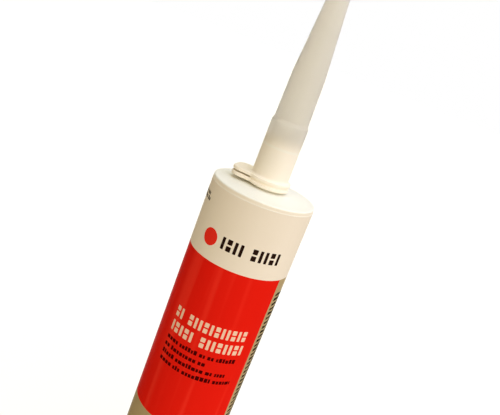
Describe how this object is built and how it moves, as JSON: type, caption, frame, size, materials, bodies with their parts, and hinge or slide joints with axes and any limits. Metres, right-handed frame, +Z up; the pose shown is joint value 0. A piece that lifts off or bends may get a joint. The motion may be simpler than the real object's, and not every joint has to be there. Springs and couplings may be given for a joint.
{
  "type": "caulk tube",
  "caption": "Sealant cartridge with a screwed-on tapered nozzle and an inner piston that a caulking gun drives up to press the paste out.",
  "frame": {"origin": "centre of the barrel's rear rim, on the surface that it stands on", "axes": "+Z up the barrel's axis to the nozzle's tip, -Y out of the front of the print"},
  "size_m": [0.0504, 0.0504, 0.3257],
  "materials": {
    "barrel_plastic": "moulded, soft gloss",
    "nozzle_plastic": "natural, slightly translucent",
    "piston_plastic": "natural, waxy",
    "paste": "smooth white paste",
    "printed_film": "printed gloss film"
  },
  "bodies": {
    "barrel": {"barrel": "barrel_plastic", "label": "printed_film", "sealant": "paste"},
    "piston": {"piston": "piston_plastic"},
    "nozzle": {"nozzle": "nozzle_plastic"}
  },
  "joints": [
    {"name": "piston_slide", "type": "slide", "parent": "barrel", "child": "piston", "axis": [0, 0, 1], "range_m": [0, 0.174], "deforming": ["sealant"]},
    {"name": "nozzle_lift", "type": "slide", "parent": "barrel", "child": "nozzle", "axis": [0, 0, 1], "range_m": [0, 0.025]}
  ]
}
